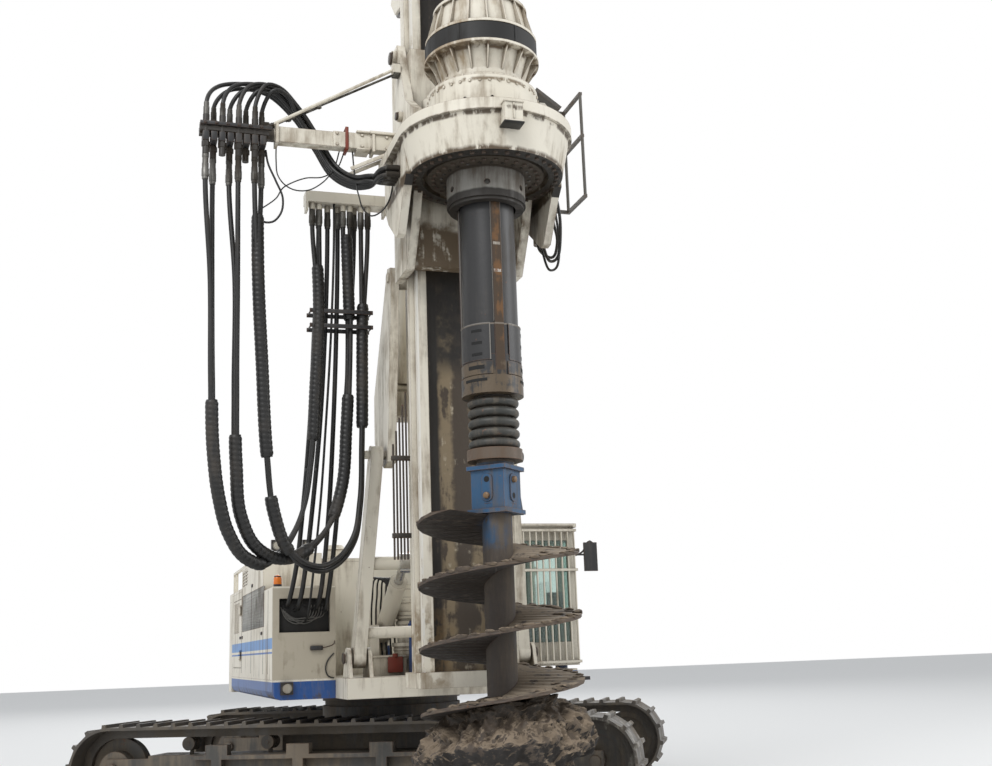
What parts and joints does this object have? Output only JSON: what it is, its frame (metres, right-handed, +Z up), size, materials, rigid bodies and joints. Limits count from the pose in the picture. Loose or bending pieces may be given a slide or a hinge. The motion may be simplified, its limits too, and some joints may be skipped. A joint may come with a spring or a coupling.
{
  "type": "crawler rotary piling rig",
  "caption": "Crawler-mounted rotary piling rig with leader mast, rotary drive, telescopic kelly bar and auger.",
  "frame": {"origin": "on the ground, where the slewing axis meets it, between the two tracks", "axes": "+Z up; -Y is the front of the upper machine, where mast, kelly bar and auger are; +X is the cab side; the undercarriage is slewed 29 degrees"},
  "size_m": [7.6218, 8.8592, 21.0483],
  "materials": {
    "white_paint": "worn cream white gloss, dusty",
    "blue_paint": "deep blue gloss, dusty",
    "tool_blue": "chipped blue paint over steel",
    "kelly_steel": "dark oiled steel with rust",
    "frame_grey": "dark grey, muddy",
    "track_steel": "worn steel shoes with mud",
    "muddy_steel": "clay covered steel",
    "bright_steel": "polished rod",
    "black_metal": "satin black",
    "rope_steel": "greased wire rope",
    "glass": "greenish tinted",
    "seat_fabric": "dark woven",
    "wet_clay": "wet lumpy clay stuck to the auger",
    "hose_rubber": "matt black"
  },
  "bodies": {
    "undercarriage": {"car_body": "frame_grey", "track_frame_right": "frame_grey", "track_frame_left": "frame_grey", "track_right": "track_steel", "track_left": "track_steel", "sprockets": "frame_grey", "idlers": "frame_grey", "track_rollers": "frame_grey"},
    "upper": {"slew_ring": "frame_grey", "upper_deck": "blue_paint", "deck_nose": "white_paint", "counterweight": "white_paint", "house_right": "white_paint", "house_main": "white_paint", "house_roof": "white_paint", "engine_block": "frame_grey", "cab_shell": "white_paint", "cab_glass": "glass", "cab_guard": "white_paint", "cab_seat": "seat_fabric", "rails_and_lamps": "black_metal"},
    "service_door_right": {"service_door_right": "white_paint"},
    "service_door_left": {"service_door_left": "white_paint"},
    "cab_door": {"cab_door": "white_paint"},
    "boom": {"boom": "white_paint"},
    "steady_link": {"steady_link": "white_paint"},
    "luff_barrels": {"luff_barrels": "white_paint"},
    "luff_rods": {"luff_rods": "bright_steel"},
    "bracket": {"mast_bracket": "white_paint"},
    "tilt_barrels": {"tilt_barrels": "white_paint"},
    "tilt_rods": {"tilt_rods": "bright_steel"},
    "mast": {"mast_lower": "white_paint", "mast_upper": "white_paint", "mast_head": "white_paint", "crowd_barrel": "white_paint", "main_rope": "rope_steel", "aux_rope": "rope_steel", "aux_hook": "frame_grey", "hose_bracket": "white_paint", "hose_supply_1": "hose_rubber", "hose_supply_2": "hose_rubber"},
    "main_drum": {"main_drum": "frame_grey"},
    "aux_drum": {"aux_drum": "frame_grey"},
    "front_sheaves": {"front_sheaves": "frame_grey"},
    "rear_sheaves": {"rear_sheaves": "frame_grey"},
    "sledge": {"sledge": "white_paint", "rotary_drive": "white_paint", "hose_arm": "white_paint", "rotary_guard": "white_paint", "crowd_rod": "bright_steel", "hose_loop_1": "hose_rubber", "hose_loop_2": "hose_rubber", "hose_loop_3": "hose_rubber"},
    "sleeve": {"drive_collar": "kelly_steel", "guide_cones": "white_paint"},
    "kelly_head": {"kelly_guide": "white_paint"},
    "kelly": {"kelly_bar": "kelly_steel"},
    "kelly_inner": {"kelly_foot": "tool_blue", "auger": "muddy_steel", "clay": "wet_clay"}
  },
  "joints": [
    {"name": "slew", "type": "hinge", "parent": "undercarriage", "child": "upper", "pos_m": [0, 0, 1.08], "axis": [0, 0, 1], "continuous": true},
    {"name": "boom_luff", "type": "hinge", "parent": "upper", "child": "boom", "pos_m": [0, -2.5, 1.64], "axis": [1, 0, 0], "range_deg": [0, 12], "deforming": ["hose_supply_1", "hose_supply_2"]},
    {"name": "bracket_level", "type": "hinge", "parent": "boom", "child": "bracket", "pos_m": [0, -2.75, 3.74], "axis": [1, 0, 0], "range_deg": [-12.2, 0]},
    {"name": "steady_turn", "type": "hinge", "parent": "upper", "child": "steady_link", "pos_m": [0, -2.1, 1.95], "axis": [1, 0, 0], "range_deg": [0, 12.2]},
    {"name": "luff_barrel_turn", "type": "hinge", "parent": "upper", "child": "luff_barrels", "pos_m": [0, -1.15, 1.7], "axis": [1, 0, 0], "range_deg": [0, 4.5]},
    {"name": "luff_rod_slide", "type": "slide", "parent": "luff_barrels", "child": "luff_rods", "axis": [0, -0.8505, 0.526], "range_m": [0, 0.16]},
    {"name": "mast_tilt", "type": "hinge", "parent": "bracket", "child": "mast", "pos_m": [0, -3.05, 5.62], "axis": [1, 0, 0], "range_deg": [-15, 3]},
    {"name": "tilt_barrel_turn", "type": "hinge", "parent": "bracket", "child": "tilt_barrels", "pos_m": [0, -2.33, 4.56], "axis": [1, 0, 0], "range_deg": [-8.6, 1.8]},
    {"name": "tilt_rod_slide", "type": "slide", "parent": "tilt_barrels", "child": "tilt_rods", "axis": [0, -0.1638, 0.9865], "range_m": [-0.165, 0.035]},
    {"name": "crowd", "type": "slide", "parent": "mast", "child": "sledge", "axis": [0, 0, 1], "range_m": [-1, 2.8], "deforming": ["hose_loop_1", "hose_loop_2", "hose_loop_3"]},
    {"name": "rotary_spin", "type": "hinge", "parent": "sledge", "child": "sleeve", "pos_m": [0, -4.6, 6.5], "axis": [0, 0, 1], "continuous": true},
    {"name": "kelly_hoist", "type": "slide", "parent": "mast", "child": "kelly_head", "axis": [0, 0, 1], "range_m": [-1.5, 0.6], "deforming": ["main_rope"]},
    {"name": "kelly_spin", "type": "hinge", "parent": "kelly_head", "child": "kelly", "pos_m": [0, -4.6, 14.3], "axis": [0, 0, 1], "continuous": true},
    {"name": "kelly_extend", "type": "slide", "parent": "kelly", "child": "kelly_inner", "axis": [0, 0, 1], "range_m": [-3, 0]},
    {"name": "main_drum_turn", "type": "hinge", "parent": "mast", "child": "main_drum", "pos_m": [0, -2.42, 8.25], "axis": [1, 0, 0], "continuous": true},
    {"name": "aux_drum_turn", "type": "hinge", "parent": "mast", "child": "aux_drum", "pos_m": [0, -2.42, 9.45], "axis": [1, 0, 0], "continuous": true},
    {"name": "front_sheave_turn", "type": "hinge", "parent": "mast", "child": "front_sheaves", "pos_m": [0, -4.28, 20.7], "axis": [1, 0, 0], "continuous": true},
    {"name": "rear_sheave_turn", "type": "hinge", "parent": "mast", "child": "rear_sheaves", "pos_m": [0, -2.5043, 20.7], "axis": [1, 0, 0], "continuous": true},
    {"name": "service_door_right_swing", "type": "hinge", "parent": "upper", "child": "service_door_right", "pos_m": [-1.745, 1.3, 2], "axis": [0, 0, 1], "range_deg": [0, 110]},
    {"name": "service_door_left_swing", "type": "hinge", "parent": "upper", "child": "service_door_left", "pos_m": [1.745, 1.3, 2], "axis": [0, 0, -1], "range_deg": [0, 110]},
    {"name": "cab_door_swing", "type": "hinge", "parent": "upper", "child": "cab_door", "pos_m": [1.72, -0.66, 2.2], "axis": [0, 0, 1], "range_deg": [0, 120]}
  ],
  "couplings": [
    {"joint": "bracket_level", "follows": "boom_luff", "ratio": -1},
    {"joint": "steady_turn", "follows": "boom_luff", "ratio": 1},
    {"joint": "luff_barrel_turn", "follows": "boom_luff", "ratio": 0.3615},
    {"joint": "luff_rod_slide", "follows": "boom_luff", "m_per_rad": 0.7253},
    {"joint": "tilt_barrel_turn", "follows": "mast_tilt", "ratio": 0.5588},
    {"joint": "tilt_rod_slide", "follows": "mast_tilt", "m_per_rad": 0.6034},
    {"joint": "kelly_spin", "follows": "rotary_spin", "ratio": 1}
  ]
}
